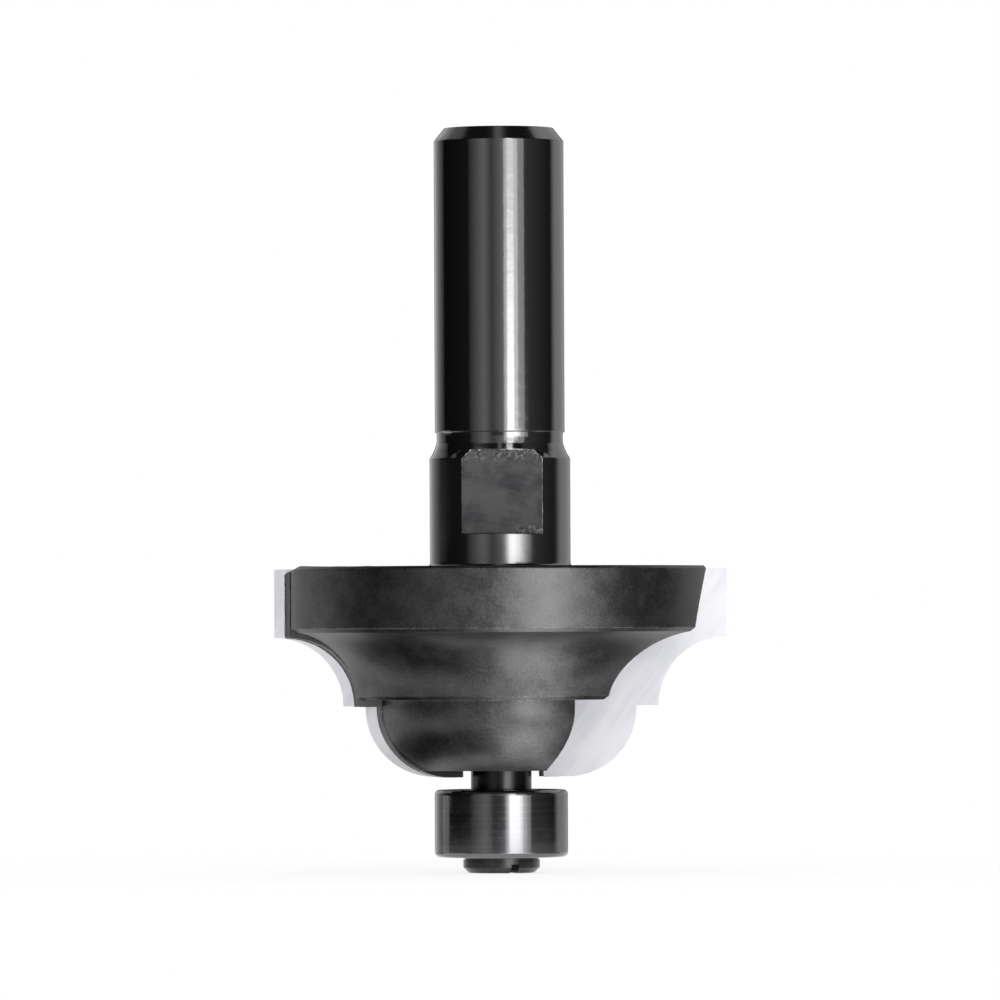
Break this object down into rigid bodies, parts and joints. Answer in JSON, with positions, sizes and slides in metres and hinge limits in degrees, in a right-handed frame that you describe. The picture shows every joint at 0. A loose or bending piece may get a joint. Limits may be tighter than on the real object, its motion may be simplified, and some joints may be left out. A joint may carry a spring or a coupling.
{
  "type": "router bit",
  "caption": "Two-flute router bit with brazed carbide tips for a bead, step and cove profile, a plain shank, and a ball bearing guide held by a slotted screw.",
  "frame": {"origin": "On the axis, at the flat face of the retaining screw, which the bit stands on: the middle of the bottom of its box.", "axes": "+Z is the axis of rotation, from the guide bearing to the end of the shank. +X runs through the first carbide tip, and its rake face looks along -Y."},
  "size_m": [0.0418, 0.0394, 0.0688],
  "materials": {
    "blackened_steel": "blackened steel, ground bright on the shank and collar, blasted matte on the head",
    "ground_carbide": "tungsten carbide, finely ground",
    "bearing_steel": "hardened bearing steel, ground and polished",
    "pressed_steel": "pressed thin steel, satin",
    "screw_steel": "turned steel, blackened"
  },
  "bodies": {
    "cutter": {"cutter_body": "blackened_steel", "carbide_tip_1": "ground_carbide", "carbide_tip_2": "ground_carbide", "bearing_inner_ring": "bearing_steel", "screw_washer": "screw_steel", "retaining_screw": "screw_steel"},
    "guide_ring": {"bearing_outer_ring": "bearing_steel", "shield_lower": "pressed_steel", "shield_upper": "pressed_steel", "shield_snap_ring_lower": "pressed_steel", "shield_snap_ring_upper": "pressed_steel"},
    "ball_cage": {"bearing_cage_lower": "pressed_steel", "bearing_cage_upper": "pressed_steel"},
    "rolling_ball_1": {"ball_1": "bearing_steel"},
    "rolling_ball_2": {"ball_2": "bearing_steel"},
    "rolling_ball_3": {"ball_3": "bearing_steel"},
    "rolling_ball_4": {"ball_4": "bearing_steel"},
    "rolling_ball_5": {"ball_5": "bearing_steel"},
    "rolling_ball_6": {"ball_6": "bearing_steel"},
    "rolling_ball_7": {"ball_7": "bearing_steel"}
  },
  "joints": [
    {"name": "guide_ring_spin", "type": "hinge", "parent": "cutter", "child": "guide_ring", "pos_m": [0, 0, 0.00455], "axis": [0, 0, 1], "continuous": true},
    {"name": "cage_orbit", "type": "hinge", "parent": "cutter", "child": "ball_cage", "pos_m": [0, 0, 0.00455], "axis": [0, 0, 1], "continuous": true},
    {"name": "ball_1_roll", "type": "hinge", "parent": "ball_cage", "child": "rolling_ball_1", "pos_m": [0.00426, 0, 0.00455], "axis": [0, 0, 1], "continuous": true},
    {"name": "ball_2_roll", "type": "hinge", "parent": "ball_cage", "child": "rolling_ball_2", "pos_m": [0.00266, 0.00333, 0.00455], "axis": [0, 0, 1], "continuous": true},
    {"name": "ball_3_roll", "type": "hinge", "parent": "ball_cage", "child": "rolling_ball_3", "pos_m": [-0.00095, 0.00416, 0.00455], "axis": [0, 0, 1], "continuous": true},
    {"name": "ball_4_roll", "type": "hinge", "parent": "ball_cage", "child": "rolling_ball_4", "pos_m": [-0.00384, 0.00185, 0.00455], "axis": [0, 0, 1], "continuous": true},
    {"name": "ball_5_roll", "type": "hinge", "parent": "ball_cage", "child": "rolling_ball_5", "pos_m": [-0.00384, -0.00185, 0.00455], "axis": [0, 0, 1], "continuous": true},
    {"name": "ball_6_roll", "type": "hinge", "parent": "ball_cage", "child": "rolling_ball_6", "pos_m": [-0.00095, -0.00416, 0.00455], "axis": [0, 0, 1], "continuous": true},
    {"name": "ball_7_roll", "type": "hinge", "parent": "ball_cage", "child": "rolling_ball_7", "pos_m": [0.00266, -0.00333, 0.00455], "axis": [0, 0, 1], "continuous": true}
  ],
  "couplings": [
    {"joint": "cage_orbit", "follows": "guide_ring_spin", "ratio": 0.63957},
    {"joint": "ball_1_roll", "follows": "guide_ring_spin", "ratio": 1.6517},
    {"joint": "ball_2_roll", "follows": "guide_ring_spin", "ratio": 1.6517},
    {"joint": "ball_3_roll", "follows": "guide_ring_spin", "ratio": 1.6517},
    {"joint": "ball_4_roll", "follows": "guide_ring_spin", "ratio": 1.6517},
    {"joint": "ball_5_roll", "follows": "guide_ring_spin", "ratio": 1.6517},
    {"joint": "ball_6_roll", "follows": "guide_ring_spin", "ratio": 1.6517},
    {"joint": "ball_7_roll", "follows": "guide_ring_spin", "ratio": 1.6517}
  ]
}
